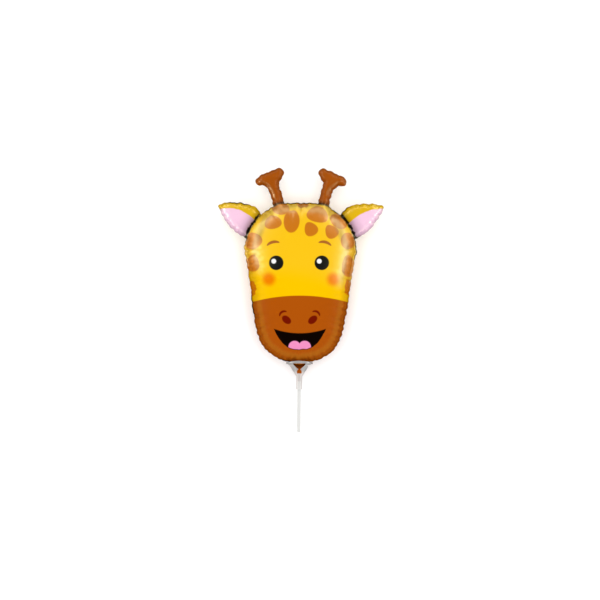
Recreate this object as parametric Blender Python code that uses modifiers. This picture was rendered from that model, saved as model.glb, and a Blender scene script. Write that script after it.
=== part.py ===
"""Foil balloon in the shape of a giraffe's head, held on a plastic cup and stick.

The balloon lies on its back: the face looks up (+Z), the horns point to +Y and the
stick to -Y. Each film panel is a flat outline, pinched at the ears, that is blown up
by a membrane equation, with a flat weld all round. The funnel is a turned profile.
Lengths are in metres.
"""
import math

import bmesh
import bpy
import numpy as np
from mathutils import Vector
from mathutils.geometry import delaunay_2d_cdt, intersect_line_line_2d

# Sizes of the foil envelope
HEAD_WIDTH = 0.1612
HEAD_HEIGHT = 0.2305
EAR_LENGTH = 0.0565
EAR_WIDTH = 0.0458
EAR_ANGLE = math.radians(29.9)
HORN_HEIGHT = 0.0523
WELD_WIDTH = 0.0024
WELD_THICKNESS = 0.0008
FULLNESS = 0.81
CREASE_HEIGHT = 0.0070
REST_FLAT_DEPTH = 0.0014

# Folds that run in from the weld
PUCKER_PITCH = 0.0175
PUCKER_DEPTH = 0.22
PUCKER_REACH = 0.012
PUCKER_LOFT = 0.009
WELD_WAVE = 0.0006

# Filling tail below the chin
TAIL_NECK_Y = -0.0068
TAIL_TOP_WIDTH = 0.0180
TAIL_NECK_WIDTH = 0.0036
TAIL_TAB_WIDTH = 0.0066
TAIL_TAB_LENGTH = 0.0054

# Funnel and collar
CUP_DIAMETER = 0.0376
CUP_DEPTH = 0.0201
CUP_SHOULDER_DIAMETER = 0.0258
CUP_SHOULDER_DEPTH = 0.0056
CUP_WALL = 0.0011
CUP_LIP_HEIGHT = 0.0020
CUP_LIP_WALL = 0.0016
CUP_SADDLE = 0.0030
CHIN_IN_CUP = 0.0031
COLLAR_LENGTH = 0.0181
COLLAR_WALL = 0.0012
WINDOW_WIDTH = 0.0184
WINDOW_TOP = 0.0018
WINDOW_CORNER = 0.0012

# Stick
STICK_DIAMETER = 0.0050
STICK_BORE = 0.0036
STICK_LENGTH = 0.0721
STICK_IN_COLLAR = 0.0116

# Clearances
FIT_GAP = 0.0003
SLOT_GAP = 0.0004
TAIL_GAP = 0.0005

# Fineness of the film mesh
EDGE_STEP = 0.0037
MIDDLE_STEP = 0.0074
TAIL_STEP = 0.0013
CLOSEST_SHARE = 0.62
RING_SHARE = 0.97
SAME_PLACE = 1e-6
SHARP_ANGLE = math.radians(35)
RING_OFFSETS = (0.0012, 0.0036, 0.0074, 0.0125, 0.0185)
ROUND_SEGMENTS = 48

# Outlines of the right half, as shares of the sizes above.
# Head: half width and height, from the crown to the chin.
HEAD_SHARES = (
    (0.0, 1.0), (0.264, 0.996), (0.493, 0.975), (0.695, 0.925), (0.88, 0.835), (1.0, 0.727),
    (0.954, 0.627), (0.894, 0.49), (0.836, 0.328), (0.748, 0.180), (0.607, 0.090), (0.380, 0.034),
    (0.235, 0.018), (0.0, 0.0),
)
# Ear: along and across its own length and half width, from its top root to its lower root.
EAR_SHARES = (
    (-0.20, 0.78), (0.10, 1.11), (0.28, 1.13), (0.47, 1.01), (0.68, 0.76), (0.87, 0.47),
    (0.985, 0.21), (1.0, 0.0), (0.93, -0.15), (0.81, -0.34), (0.60, -0.62), (0.41, -0.80),
    (0.18, -0.87), (-0.18, -0.84),
)
EAR_ROOT = (0.859, 0.850)
# Horn: both ways as shares of its height, from its inner root to its outer root.
HORN_SHARES = (
    (-0.195, -0.05), (-0.147, 0.144), (-0.103, 0.307), (-0.050, 0.50), (-0.045, 0.600), (-0.110, 0.740),
    (-0.158, 0.861), (-0.136, 0.954), (-0.040, 1.0), (0.07, 0.975), (0.223, 0.91), (0.413, 0.834),
    (0.560, 0.755), (0.628, 0.655), (0.611, 0.546), (0.53, 0.498), (0.413, 0.495), (0.315, 0.445),
    (0.258, 0.350), (0.215, 0.230), (0.175, 0.08), (0.150, -0.10),
)
HORN_ROOT = (0.401, 0.985)

# Heights along Y, with the chin's outer edge at zero
CUP_RIM_Y = CHIN_IN_CUP
CUP_SHOULDER_Y = CUP_RIM_Y - CUP_SHOULDER_DEPTH
CUP_FOOT_Y = CUP_RIM_Y - CUP_DEPTH
COLLAR_END_Y = CUP_FOOT_Y - COLLAR_LENGTH
STICK_TOP_Y = COLLAR_END_Y + STICK_IN_COLLAR
STICK_END_Y = STICK_TOP_Y - STICK_LENGTH
WINDOW_TOP_Y = CUP_RIM_Y - CUP_LIP_HEIGHT + CUP_SADDLE - WINDOW_TOP
WINDOW_END_Y = TAIL_NECK_Y - TAIL_NECK_WIDTH / 2
TAIL_TAB_Y = TAIL_NECK_Y - TAIL_TAB_LENGTH / 3
TAIL_END_Y = TAIL_NECK_Y - TAIL_TAB_LENGTH

# Sizes that follow from the fits
COLLAR_BORE_RADIUS = STICK_DIAMETER / 2 + FIT_GAP
COLLAR_RADIUS = COLLAR_BORE_RADIUS + COLLAR_WALL
SLOT_WIDTH = TAIL_NECK_WIDTH + 2 * SLOT_GAP
STOP_RADIUS = STICK_BORE / 2


def smooth_curve(points, step):
    """Points about one step apart on a smooth curve through the given ones."""
    points = np.asarray(points, float)
    ends = np.vstack([2 * points[0] - points[1], points, 2 * points[-1] - points[-2]])
    line = []
    for before, start, stop, after in zip(ends, ends[1:], ends[2:], ends[3:]):
        count = max(2, math.ceil(np.linalg.norm(stop - start) / step))
        for t in np.arange(count) / count:
            line.append(0.5 * (2 * start + (stop - before) * t
                               + (2 * before - 5 * start + 4 * stop - after) * t ** 2
                               + (3 * start - before - 3 * stop + after) * t ** 3))
    line.append(points[-1])
    return np.array(line)


def even_steps(line, step):
    """The same line, with its points spread evenly about one step apart."""
    lengths = np.concatenate([[0], np.cumsum(np.linalg.norm(np.diff(line, axis=0), axis=1))])
    count = max(2, round(lengths[-1] / step))
    places = np.linspace(0, lengths[-1], count + 1)
    return np.column_stack([np.interp(places, lengths, line[:, axis]) for axis in range(2)])


def splice(base, limb):
    """Lead the base's line round the limb; also return the stretch that the limb covers."""
    hits = []
    for i in range(len(base) - 1):
        for j in range(len(limb) - 1):
            point = intersect_line_line_2d(base[i], base[i + 1], limb[j], limb[j + 1])
            if point is not None:
                hits.append((i, j, np.array(point)))
    (i0, j0, first), (i1, j1, last) = hits[0], hits[-1]
    joined = np.vstack([base[:i0 + 1], first, limb[j0 + 1:j1 + 1], last, base[i1 + 1:]])
    covered = np.vstack([first, base[i0 + 1:i1 + 1], last])
    return joined, covered


def head_line(step):
    """Right half of the head's outline, from crown to chin."""
    return smooth_curve([(x * HEAD_WIDTH / 2, y * HEAD_HEIGHT) for x, y in HEAD_SHARES], step)


def ear_line(step):
    """Right ear, turned to its angle about its root on the head."""
    along = Vector((math.cos(EAR_ANGLE), math.sin(EAR_ANGLE)))
    across = along.orthogonal()
    root = Vector((EAR_ROOT[0] * HEAD_WIDTH / 2, EAR_ROOT[1] * HEAD_HEIGHT))
    points = [root + along * u * EAR_LENGTH + across * v * EAR_WIDTH / 2 for u, v in EAR_SHARES]
    return smooth_curve([tuple(point) for point in points], step)


def horn_line(step):
    """Right horn, standing on the crown."""
    root = np.array([HORN_ROOT[0] * HEAD_WIDTH / 2, HORN_ROOT[1] * HEAD_HEIGHT])
    return smooth_curve([root + HORN_HEIGHT * np.array(share) for share in HORN_SHARES], step)


def tail_sides(start):
    """Right edge of the filling tail from the chin: triangle, neck, tab and end."""
    corners = [start,
               (TAIL_NECK_WIDTH / 2, TAIL_NECK_Y + TAIL_NECK_WIDTH / 2),
               (TAIL_NECK_WIDTH / 2, TAIL_NECK_Y),
               (TAIL_TAB_WIDTH / 2, TAIL_TAB_Y),
               (TAIL_TAB_WIDTH / 2, TAIL_END_Y),
               (0.0, TAIL_END_Y)]
    return [np.array(side) for side in zip(corners, corners[1:])]


def half_outline():
    """Outer edge of the right half, from crown to tail end, the ear's crease and the chin's weld."""
    fine = EDGE_STEP / 6
    head = head_line(fine)
    outline, _ = splice(head, horn_line(fine))
    outline, ear_crease = splice(outline, ear_line(fine))
    chin = head[(head[:, 0] < TAIL_TOP_WIDTH / 2) & (head[:, 1] < HEAD_HEIGHT / 2)]
    outline = even_steps(outline[:len(outline) - len(chin) + 1], EDGE_STEP)
    outline = np.vstack([outline, *(even_steps(side, TAIL_STEP)[1:] for side in tail_sides(outline[-1]))])
    return outline, even_steps(ear_crease, EDGE_STEP), even_steps(chin + (0, WELD_WIDTH), EDGE_STEP)


def nearest_on_line(points, line):
    """Distance from each point to a line, and how far along the line that is."""
    starts = line[:-1]
    steps = line[1:] - starts
    squares = np.einsum("ij,ij->i", steps, steps)
    shares = np.clip(np.einsum("pij,ij->pi", points[:, None] - starts, steps) / squares, 0, 1)
    gaps = np.linalg.norm(points[:, None] - (starts + shares[..., None] * steps), axis=2)
    best = gaps.argmin(axis=1)
    rows = np.arange(len(points))
    lengths = np.concatenate([[0], np.cumsum(np.sqrt(squares))])
    return gaps[rows, best], lengths[best] + shares[rows, best] * np.sqrt(squares[best])


def inside(points, polygon):
    """Whether each point lies in the polygon."""
    x, y = points.T
    x0, y0 = polygon.T
    x1, y1 = np.roll(polygon, -1, axis=0).T
    rise = np.where(y1 == y0, 1, y1 - y0)
    spans = (y0 > y[:, None]) != (y1 > y[:, None])
    hits = spans & (x[:, None] < (x1 - x0) * (y[:, None] - y0) / rise + x0)
    return hits.sum(axis=1) % 2 == 1


def film_points(outline, creases):
    """Points inside the right half: rings that follow the weld, then a triangular grid."""
    along = np.gradient(outline, axis=0)
    inward = np.column_stack([along[:, 1], -along[:, 0]])
    inward /= np.linalg.norm(inward, axis=1)[:, None]
    middle_y = np.arange(outline[0, 1] - WELD_WIDTH, WELD_WIDTH, -(EDGE_STEP + MIDDLE_STEP) / 2)
    middle = np.column_stack([np.zeros(len(middle_y)), middle_y])
    rows = np.arange(0, outline[:, 1].max(), MIDDLE_STEP * math.sqrt(3) / 2)
    columns = np.arange(0, outline[:, 0].max(), MIDDLE_STEP)
    grid = np.array([(x + MIDDLE_STEP / 2 * (i % 2), y) for i, y in enumerate(rows) for x in columns])
    depths = [WELD_WIDTH] + [WELD_WIDTH + offset for offset in RING_OFFSETS]
    batches = [(outline + inward * depth, depth) for depth in depths] + [(grid, depths[1])]

    given = np.vstack([*creases, middle])
    kept = given
    for points, wanted in batches:
        points = points[inside(points, outline) & (points[:, 0] > EDGE_STEP / 2)]
        depth, _ = nearest_on_line(points, outline)
        steps = np.interp(depth, (0, depths[-1]), (EDGE_STEP, MIDDLE_STEP))
        for point, gap, step in zip(points, depth, steps):
            crowded = np.linalg.norm(kept - point, axis=1).min() < CLOSEST_SHARE * step
            if gap > RING_SHARE * wanted and not crowded:
                kept = np.vstack([kept, point])
    return middle, kept[len(given):]


def triangulate(outline, creases, middle, inner):
    """Triangles of the right half; creases and the middle line are kept as edges."""
    weld_y = creases[1][-1, 1]
    stem = even_steps(np.array([(0.0, TAIL_END_Y), (0.0, weld_y)]), TAIL_STEP)[1:]
    climb = middle[::-1]
    climb = climb[climb[:, 1] > weld_y + EDGE_STEP / 2]
    border = np.vstack([outline, stem, climb])
    extra = [creases[0][1:-1], creases[1][:-1]]
    points = np.vstack([border, *extra, inner])
    edges = []
    start = len(border)
    for line in extra:
        edges += [(start + i, start + i + 1) for i in range(len(line) - 1)]
        start += len(line)
    loop = list(range(len(border)))[::-1]
    result = delaunay_2d_cdt([Vector(point) for point in points], edges, [loop], 1, SAME_PLACE / 10)
    return np.array([tuple(point) for point in result[0]]), np.array([tuple(face) for face in result[2]])


def membrane(corners, faces, free, fixed):
    """Solve for a film held at its fixed points and pressed evenly elsewhere."""
    matrix = np.zeros((len(corners), len(corners)))
    load = np.zeros(len(corners))
    for face in faces:
        places = corners[face]
        sides = np.array([places[2] - places[1], places[0] - places[2], places[1] - places[0]])
        area = abs(sides[0, 0] * sides[1, 1] - sides[0, 1] * sides[1, 0]) / 2
        matrix[np.ix_(face, face)] += sides @ sides.T / (4 * area)
        load[face] += area / 3
    solved = fixed.copy()
    pull = load[free] - matrix[np.ix_(free, ~free)] @ fixed[~free]
    solved[free] = np.linalg.solve(matrix[np.ix_(free, free)], pull)
    return solved


def blown_heights(corners, faces, outline, creases):
    """Height of the front film over its middle plane, and the wave of that plane."""
    depth, along = nearest_on_line(corners, outline)
    ear_gap, _ = nearest_on_line(corners, creases[0])
    weld = np.interp(corners[:, 0], creases[1][::-1, 0], creases[1][::-1, 1])
    welded = (depth < WELD_WIDTH / RING_SHARE) | (corners[:, 1] < weld + SAME_PLACE)
    creased = (ear_gap < SAME_PLACE) & ~welded
    fixed = np.where(creased, (CREASE_HEIGHT / FULLNESS) ** 2 / 2, 0)
    solved = membrane(corners, faces, ~(welded | creased), fixed)
    heights = FULLNESS * np.sqrt(2 * np.maximum(solved, 0))

    length = np.linalg.norm(np.diff(outline, axis=0), axis=1).sum()
    turns = 2 * math.pi * along / length * round(length / PUCKER_PITCH)
    fade = np.exp(-np.maximum(depth - WELD_WIDTH, 0) / PUCKER_REACH)
    above_chin = np.clip((corners[:, 1] - weld) / PUCKER_PITCH, 0, 1)
    loft = heights / (heights + PUCKER_LOFT)
    folds = PUCKER_DEPTH * fade * loft * (1 - np.cos(turns)) / 2
    return heights * (1 - folds), WELD_WAVE * fade * above_chin * np.cos(turns)


def cup_radius(y):
    """Outer radius of the funnel at a height."""
    heights = (CUP_FOOT_Y, CUP_SHOULDER_Y, CUP_RIM_Y)
    return float(np.interp(y, heights, (COLLAR_RADIUS, CUP_SHOULDER_DIAMETER / 2, CUP_DIAMETER / 2)))


def tail_rise(y):
    """How far the tail has come forward at a height, on its way out of the slot."""
    outside = cup_radius(max(y, TAIL_END_Y)) + TAIL_GAP + WELD_THICKNESS
    share = min(1, max(0, y / TAIL_NECK_Y))
    return outside * share ** 2 * (3 - 2 * share)


def make_material(name, colour, roughness, metallic=0.0, alpha=1.0):
    """One plain surface for one piece."""
    material = bpy.data.materials.new(name)
    material.use_nodes = True
    shader = material.node_tree.nodes["Principled BSDF"]
    shader.inputs["Base Color"].default_value = (*colour, 1)
    shader.inputs["Roughness"].default_value = roughness
    shader.inputs["Metallic"].default_value = metallic
    shader.inputs["Alpha"].default_value = alpha
    return material


def add_object(name, mesh, collection, place=(0, 0, 0), turn=(0, 0, 0)):
    """Put a mesh in the scene at a place and turn."""
    item = bpy.data.objects.new(name, mesh)
    item.location = place
    item.rotation_euler = turn
    collection.objects.link(item)
    return item


def make_balloon(collection):
    """The sealed film envelope, lying with its flattened back on the floor."""
    outline, *creases = half_outline()
    middle, inner = film_points(outline, creases)
    corners, faces = triangulate(outline, creases, middle, inner)
    heights, wave = blown_heights(corners, faces, outline, creases)
    half = WELD_THICKNESS / 2
    lift = heights.max() + half - REST_FLAT_DEPTH
    plane = wave + np.array([tail_rise(y) for y in corners[:, 1]])
    back = np.maximum(plane - heights - half, -lift)

    shape = bmesh.new()
    upper = [shape.verts.new((x, y, z)) for (x, y), z in zip(corners, plane + heights + half)]
    lower = [shape.verts.new((x, y, z)) for (x, y), z in zip(corners, back)]
    rim = set()
    for face in faces:
        shape.faces.new([upper[i] for i in face])
        shape.faces.new([lower[i] for i in face[::-1]])
        for edge in zip(face, np.roll(face, -1)):
            rim ^= {tuple(sorted(edge))}
    for a, b in sorted(rim):
        if max(corners[a, 0], corners[b, 0]) > SAME_PLACE:
            shape.faces.new((upper[a], upper[b], lower[b], lower[a]))
    bmesh.ops.triangulate(shape, faces=[face for face in shape.faces if len(face.verts) == 4])
    bmesh.ops.recalc_face_normals(shape, faces=shape.faces)
    mesh = bpy.data.meshes.new("foil_balloon")
    shape.to_mesh(mesh)
    shape.free()
    mesh.shade_smooth()
    mesh.materials.append(make_material("yellow_foil", (0.95, 0.55, 0.01), 0.25, metallic=0.3))
    centre_y = (outline[:, 1].max() + STICK_END_Y) / 2
    balloon = add_object("foil_balloon", mesh, collection, (0, -centre_y, lift))
    mirror = balloon.modifiers.new("left_half", "MIRROR")
    mirror.merge_threshold = SAME_PLACE * 10
    return Vector((0, -centre_y, lift))


def turned_mesh(name, profile, collection):
    """A closed profile of (radius, height) points turned about its own Z axis."""
    mesh = bpy.data.meshes.new(name)
    count = len(profile)
    mesh.from_pydata([(r, 0, z) for r, z in profile], [(i, (i + 1) % count) for i in range(count)], [])
    guide = add_object(name + "_profile", mesh, collection)
    screw = guide.modifiers.new("turn", "SCREW")
    screw.steps = ROUND_SEGMENTS
    screw.render_steps = ROUND_SEGMENTS
    screw.use_merge_vertices = True
    screw.merge_threshold = SAME_PLACE * 10
    bpy.context.view_layer.update()
    turned = bpy.data.meshes.new_from_object(guide.evaluated_get(bpy.context.evaluated_depsgraph_get()))
    turned.name = name
    bpy.data.objects.remove(guide)
    return turned


def cup_profile():
    """Section of funnel and collar, down the outside and up the inside."""
    rim = CUP_DIAMETER / 2
    shoulder = CUP_SHOULDER_DIAMETER / 2
    lip_end = CUP_RIM_Y - CUP_LIP_HEIGHT
    under_lip = cup_radius(lip_end)
    bore_top = STICK_TOP_Y + FIT_GAP
    return [(rim, CUP_RIM_Y), (rim, lip_end + CUP_LIP_HEIGHT / 3), (under_lip, lip_end - CUP_LIP_HEIGHT / 3),
            (shoulder, CUP_SHOULDER_Y), (COLLAR_RADIUS, CUP_FOOT_Y), (COLLAR_RADIUS, COLLAR_END_Y),
            (COLLAR_BORE_RADIUS, COLLAR_END_Y), (COLLAR_BORE_RADIUS, bore_top), (STOP_RADIUS, bore_top),
            (STOP_RADIUS, CUP_FOOT_Y), (shoulder - CUP_WALL, CUP_SHOULDER_Y),
            (under_lip - CUP_WALL, lip_end), (rim - CUP_LIP_WALL, CUP_RIM_Y)]


def make_cup(collection, cutters, chin):
    """Funnel with a saddle rim, cut by a window and slot at front and back."""
    mesh = turned_mesh("balloon_cup", cup_profile(), collection)
    for corner in mesh.vertices:
        share = max(0, (corner.co.z - CUP_SHOULDER_Y) / (CUP_RIM_Y - CUP_SHOULDER_Y))
        forward = corner.co.y ** 2 / (corner.co.x ** 2 + corner.co.y ** 2)
        corner.co.z += CUP_SADDLE * share * forward
    mesh.shade_smooth()
    mesh.set_sharp_from_angle(angle=SHARP_ANGLE)
    mesh.materials.append(make_material("frosted_plastic", (0.78, 0.76, 0.76), 0.35, alpha=0.6))
    cup = add_object("balloon_cup", mesh, collection, chin, (-math.pi / 2, 0, 0))

    half_slot = SLOT_WIDTH / 2
    half_window = WINDOW_WIDTH / 2
    right = [(half_window - WINDOW_CORNER, WINDOW_TOP_Y), (half_window, WINDOW_TOP_Y - WINDOW_CORNER),
             (half_slot, TAIL_NECK_Y + half_slot / 2), (half_slot, WINDOW_END_Y)]
    window = right + [(-x, y) for x, y in right[::-1]]
    shape = bmesh.new()
    face = shape.faces.new([shape.verts.new((x, y, -CUP_DIAMETER)) for x, y in window])
    swept = bmesh.ops.extrude_face_region(shape, geom=[face])["geom"]
    sides = [item for item in swept if isinstance(item, bmesh.types.BMVert)]
    bmesh.ops.translate(shape, verts=sides, vec=(0, 0, 2 * CUP_DIAMETER))
    bmesh.ops.recalc_face_normals(shape, faces=shape.faces)
    cutter_mesh = bpy.data.meshes.new("window_cutter")
    shape.to_mesh(cutter_mesh)
    shape.free()
    cutter = add_object("window_cutter", cutter_mesh, cutters, chin)
    cutter.hide_render = True
    cutter.display_type = "WIRE"
    cut = cup.modifiers.new("windows", "BOOLEAN")
    cut.object = cutter
    cut.operation = "DIFFERENCE"


def make_stick(collection, chin):
    """Straight tube, its top end inside the collar."""
    outer = STICK_DIAMETER / 2
    bore = STICK_BORE / 2
    profile = [(outer, STICK_TOP_Y), (outer, STICK_END_Y), (bore, STICK_END_Y), (bore, STICK_TOP_Y)]
    mesh = turned_mesh("stick", profile, collection)
    mesh.shade_smooth()
    mesh.set_sharp_from_angle(angle=SHARP_ANGLE)
    mesh.materials.append(make_material("white_plastic", (0.86, 0.86, 0.84), 0.4))
    add_object("stick", mesh, collection, chin, (-math.pi / 2, 0, 0))


def new_collection(name):
    """A fresh collection in the scene."""
    collection = bpy.data.collections.new(name)
    bpy.context.scene.collection.children.link(collection)
    return collection


def main():
    """Build the whole balloon."""
    for item in list(bpy.data.objects):
        bpy.data.objects.remove(item)
    parts = new_collection("giraffe_foil_balloon")
    cutters = new_collection("cutters")
    chin = make_balloon(parts)
    make_cup(parts, cutters, chin)
    make_stick(parts, chin)


main()
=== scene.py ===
"""Looks of the giraffe foil balloon: blown film with its print, frosted cup, white stick."""
import math
import random
from functools import reduce

import bmesh
import bpy
import numpy as np
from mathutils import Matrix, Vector
from mathutils.geometry import delaunay_2d_cdt, intersect_line_line_2d


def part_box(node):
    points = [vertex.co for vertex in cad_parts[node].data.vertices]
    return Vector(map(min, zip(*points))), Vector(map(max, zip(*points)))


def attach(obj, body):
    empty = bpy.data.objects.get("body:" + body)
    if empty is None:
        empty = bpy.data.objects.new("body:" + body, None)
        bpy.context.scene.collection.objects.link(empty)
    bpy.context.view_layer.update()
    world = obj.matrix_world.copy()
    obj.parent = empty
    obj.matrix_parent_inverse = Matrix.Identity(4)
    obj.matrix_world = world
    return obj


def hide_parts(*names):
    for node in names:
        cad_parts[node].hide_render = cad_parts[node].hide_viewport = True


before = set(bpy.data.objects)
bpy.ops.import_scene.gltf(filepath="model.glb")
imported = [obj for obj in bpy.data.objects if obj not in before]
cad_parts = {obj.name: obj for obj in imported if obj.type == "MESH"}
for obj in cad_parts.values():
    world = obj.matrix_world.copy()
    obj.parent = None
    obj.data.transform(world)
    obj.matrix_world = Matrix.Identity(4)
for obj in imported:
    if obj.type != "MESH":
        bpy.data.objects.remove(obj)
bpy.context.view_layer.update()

MILLIMETRE = 0.001

# Film outline, in metres, as in the solids
HEAD_WIDTH = 0.1612
HEAD_HEIGHT = 0.2305
EAR_LENGTH = 0.0565
EAR_WIDTH = 0.0458
EAR_ANGLE = math.radians(29.9)
HORN_HEIGHT = 0.0523
WELD_WIDTH = 0.0024
FULLNESS = 0.81
CREASE_HEIGHT = 0.0070
HEAD_SHARES = (
    (0, 1), (0.264, 0.996), (0.493, 0.975), (0.695, 0.925), (0.88, 0.835), (1, 0.727),
    (0.954, 0.627), (0.894, 0.49), (0.836, 0.328), (0.748, 0.180), (0.607, 0.090), (0.380, 0.034),
    (0.235, 0.018), (0, 0),
)
EAR_SHARES = (
    (-0.20, 0.78), (0.10, 1.11), (0.28, 1.13), (0.47, 1.01), (0.68, 0.76), (0.87, 0.47),
    (0.985, 0.21), (1, 0), (0.93, -0.15), (0.81, -0.34), (0.60, -0.62), (0.41, -0.80),
    (0.18, -0.87), (-0.18, -0.84),
)
EAR_ROOT = (0.859, 0.850)
HORN_SHARES = (
    (-0.195, -0.05), (-0.147, 0.144), (-0.103, 0.307), (-0.050, 0.50), (-0.045, 0.600), (-0.110, 0.740),
    (-0.158, 0.861), (-0.136, 0.954), (-0.040, 1), (0.07, 0.975), (0.223, 0.91), (0.413, 0.834),
    (0.560, 0.755), (0.628, 0.655), (0.611, 0.546), (0.53, 0.498), (0.413, 0.495), (0.315, 0.445),
    (0.258, 0.350), (0.215, 0.230), (0.175, 0.08), (0.150, -0.10),
)
HORN_ROOT = (0.401, 0.985)

# Fineness of the film
EDGE_STEP = 0.0012
MIDDLE_STEP = 0.0024
RING_OFFSETS = (0.0011, 0.0023, 0.0036, 0.0051, 0.0068, 0.0088, 0.0112)
CLOSEST_SHARE = 0.66
RING_SHARE = 0.97
SLACK_SHARE = 0.9
CREASE_CLEARANCE = 0.8
SAME_PLACE = 1e-7
TINY = 1e-18
SOLVED_SHARE = 1e-16
SOLVE_ROUNDS = 900
BLOCK = 600


def smooth_curve(points, step):
    """Points about one step apart on a smooth curve through the given ones."""
    points = np.asarray(points, float)
    ends = np.vstack([2 * points[0] - points[1], points, 2 * points[-1] - points[-2]])
    line = []
    for before, start, stop, after in zip(ends, ends[1:], ends[2:], ends[3:]):
        count = max(2, math.ceil(np.linalg.norm(stop - start) / step))
        for t in np.arange(count) / count:
            line.append(0.5 * (2 * start + (stop - before) * t
                               + (2 * before - 5 * start + 4 * stop - after) * t ** 2
                               + (3 * start - before - 3 * stop + after) * t ** 3))
    line.append(points[-1])
    return np.array(line)


def closed(loop):
    """The loop with its first place again at its end."""
    return np.vstack([loop, loop[:1]])


def lengths_along(line):
    """How far along the line each of its places is."""
    return np.concatenate([[0], np.cumsum(np.linalg.norm(np.diff(line, axis=0), axis=1))])


def even_steps(line, step):
    """The same line, with its points spread evenly about one step apart."""
    lengths = lengths_along(line)
    count = max(2, round(lengths[-1] / step))
    places = np.linspace(0, lengths[-1], count + 1)
    return np.column_stack([np.interp(places, lengths, line[:, axis]) for axis in range(2)])


def splice(base, limb):
    """Lead the base's line round the limb; also return the stretch that the limb covers."""
    hits = []
    for i in range(len(base) - 1):
        for j in range(len(limb) - 1):
            point = intersect_line_line_2d(base[i], base[i + 1], limb[j], limb[j + 1])
            if point is not None:
                hits.append((i, j, np.array(point)))
    (i0, j0, first), (i1, j1, last) = hits[0], hits[-1]
    joined = np.vstack([base[:i0 + 1], first, limb[j0 + 1:j1 + 1], last, base[i1 + 1:]])
    covered = np.vstack([first, base[i0 + 1:i1 + 1], last])
    return joined, covered


def head_side(step):
    """The right half of the head's own outline, without horn and ear."""
    return smooth_curve([(x * HEAD_WIDTH / 2, y * HEAD_HEIGHT) for x, y in HEAD_SHARES], step)


def film_outline():
    """Closed outline of the film from the crown round to the crown, and the right ear's crease."""
    fine = EDGE_STEP / 3
    head = head_side(fine)
    root = np.array([HORN_ROOT[0] * HEAD_WIDTH / 2, HORN_ROOT[1] * HEAD_HEIGHT])
    horn = smooth_curve([root + HORN_HEIGHT * np.array(share) for share in HORN_SHARES], fine)
    along = Vector((math.cos(EAR_ANGLE), math.sin(EAR_ANGLE)))
    across = along.orthogonal()
    root = Vector((EAR_ROOT[0] * HEAD_WIDTH / 2, EAR_ROOT[1] * HEAD_HEIGHT))
    ear = [tuple(root + along * u * EAR_LENGTH + across * v * EAR_WIDTH / 2) for u, v in EAR_SHARES]
    outline, _ = splice(head, horn)
    outline, crease = splice(outline, smooth_curve(ear, fine))
    left = outline[1:-1][::-1] * (-1, 1)
    return np.vstack([outline, left]), crease


def nearest_on_line(points, line):
    """Distance from each point to a line, how far along it that is, and the place itself."""
    starts = line[:-1]
    steps = line[1:] - starts
    squares = np.maximum(np.einsum("ij,ij->i", steps, steps), TINY)
    lengths = np.concatenate([[0], np.cumsum(np.sqrt(squares))])
    gaps_out, along_out, place_out = [], [], []
    for first in range(0, len(points), BLOCK):
        part = points[first:first + BLOCK]
        shares = np.clip(np.einsum("pij,ij->pi", part[:, None] - starts, steps) / squares, 0, 1)
        places = starts + shares[..., None] * steps
        gaps = np.linalg.norm(part[:, None] - places, axis=2)
        best = gaps.argmin(axis=1)
        rows = np.arange(len(part))
        gaps_out.append(gaps[rows, best])
        along_out.append(lengths[best] + shares[rows, best] * np.sqrt(squares[best]))
        place_out.append(places[rows, best])
    return np.concatenate(gaps_out), np.concatenate(along_out), np.vstack(place_out)


def inside(points, polygon):
    """Whether each point lies in the polygon."""
    x, y = points.T
    x0, y0 = polygon.T
    x1, y1 = np.roll(polygon, -1, axis=0).T
    rise = np.where(y1 == y0, 1, y1 - y0)
    spans = (y0 > y[:, None]) != (y1 > y[:, None])
    hits = spans & (x[:, None] < (x1 - x0) * (y[:, None] - y0) / rise + x0)
    return hits.sum(axis=1) % 2 == 1


def inward_of(loop):
    """Unit vectors that point inward from a clockwise loop."""
    along = np.roll(loop, -1, axis=0) - np.roll(loop, 1, axis=0)
    inward = np.c_[along[:, 1], -along[:, 0]]
    return inward / np.linalg.norm(inward, axis=1)[:, None]


def inset(loop, depth):
    """The loop moved inward by a depth, without the stretches that would cross."""
    moved = loop + inward_of(loop) * depth
    gaps, _, _ = nearest_on_line(moved, closed(loop))
    return moved[(gaps > RING_SHARE * depth) & inside(moved, loop)]


def film_mesh(weld, creases):
    """Points and triangles of one flat panel inside the weld."""
    weld_line = closed(weld)
    lo, hi = weld.min(axis=0), weld.max(axis=0)
    rows = np.arange(lo[1], hi[1], MIDDLE_STEP * math.sqrt(3) / 2)
    columns = np.arange(lo[0], hi[0], MIDDLE_STEP)
    grid = np.array([(x + MIDDLE_STEP / 2 * (i % 2), y) for i, y in enumerate(rows) for x in columns])
    batches = [(inset(weld, depth), depth) for depth in RING_OFFSETS]
    batches.append((grid[inside(grid, weld)], RING_OFFSETS[0]))
    most = len(weld) + sum(map(len, creases)) + sum(len(places) for places, _ in batches)
    kept = np.empty((most, 2))
    count = 0
    for line in (weld, *creases):
        kept[count:count + len(line)] = line
        count += len(line)
    for points, wanted in batches:
        gaps, _, _ = nearest_on_line(points, weld_line)
        steps = np.interp(gaps, (0, RING_OFFSETS[-1]), (EDGE_STEP, MIDDLE_STEP))
        for point, gap, step in zip(points, gaps, steps):
            if gap < SLACK_SHARE * RING_SHARE * wanted:
                continue
            if ((kept[:count] - point) ** 2).sum(axis=1).min() > (CLOSEST_SHARE * step) ** 2:
                kept[count] = point
                count += 1
    points = kept[:count]
    edges = []
    start = len(weld)
    for line in creases:
        edges += [(start + i, start + i + 1) for i in range(len(line) - 1)]
        start += len(line)
    loop = list(range(len(weld)))[::-1]
    result = delaunay_2d_cdt([Vector(p) for p in points], edges, [loop], 1, SAME_PLACE)
    return np.array([tuple(p) for p in result[0]]), np.array([tuple(f) for f in result[2]])


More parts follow.
